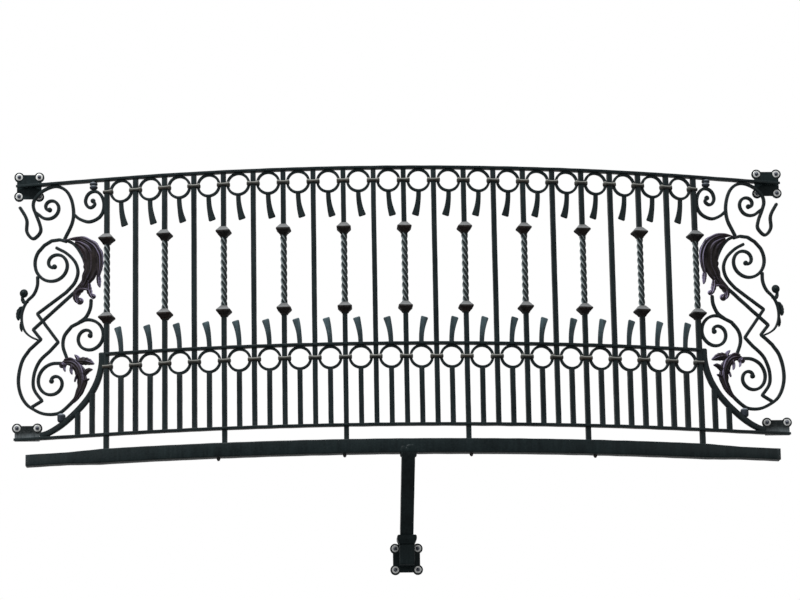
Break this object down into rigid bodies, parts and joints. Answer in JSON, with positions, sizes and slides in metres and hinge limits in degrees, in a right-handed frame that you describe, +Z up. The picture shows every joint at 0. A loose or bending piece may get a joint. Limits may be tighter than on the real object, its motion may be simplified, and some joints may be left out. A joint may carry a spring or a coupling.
{
  "type": "juliet balcony",
  "caption": "Bowed wrought-iron juliet balcony with twisted bars, knuckles, rings, tongues and scrolled side panels, on a curved beam and a centre strut.",
  "frame": {"origin": "middle of the strut's wall plate, on the face that meets the wall", "axes": "+Y into the wall, so the balcony stands out towards -Y; +Z up; +X to the right of someone facing the wall"},
  "size_m": [3.0228, 0.3098, 1.603],
  "materials": {
    "painted_iron": "satin black paint",
    "rusty_iron": "black paint with brown rust dust",
    "leaf_iron": "satin black paint with a grey sheen",
    "worn_iron": "black paint worn grey"
  },
  "bodies": {
    "root": {"strut_wall_plate": "painted_iron", "strut_shoe": "painted_iron", "centre_strut": "painted_iron", "sill_beam": "painted_iron", "bottom_rail": "painted_iron", "mid_rail": "painted_iron", "top_rail": "painted_iron", "top_plates": "painted_iron", "bottom_plates": "painted_iron", "main_posts": "painted_iron", "bay_bars": "painted_iron", "upper_bar_lengths": "painted_iron", "twisted_lengths": "painted_iron", "lower_knuckles": "rusty_iron", "upper_knuckles": "rusty_iron", "plain_bars": "painted_iron", "short_bars": "painted_iron", "lower_rings": "painted_iron", "upper_rings": "painted_iron", "lower_collars": "rusty_iron", "upper_collars": "rusty_iron", "hanging_tongues": "painted_iron", "standing_tongues": "worn_iron", "side_bars": "painted_iron", "sweep_braces": "painted_iron", "scroll_knobs": "rusty_iron", "crook_scrolls": "painted_iron", "crook_eyes": "painted_iron", "post_scrolls": "painted_iron", "snail_scrolls": "painted_iron", "tail_scrolls": "painted_iron", "inner_broken_bars": "painted_iron", "outer_broken_bars": "painted_iron", "lower_spirals": "painted_iron", "tendril_scrolls": "painted_iron", "upper_leaves": "leaf_iron", "lower_leaves": "leaf_iron"}
  },
  "joints": []
}
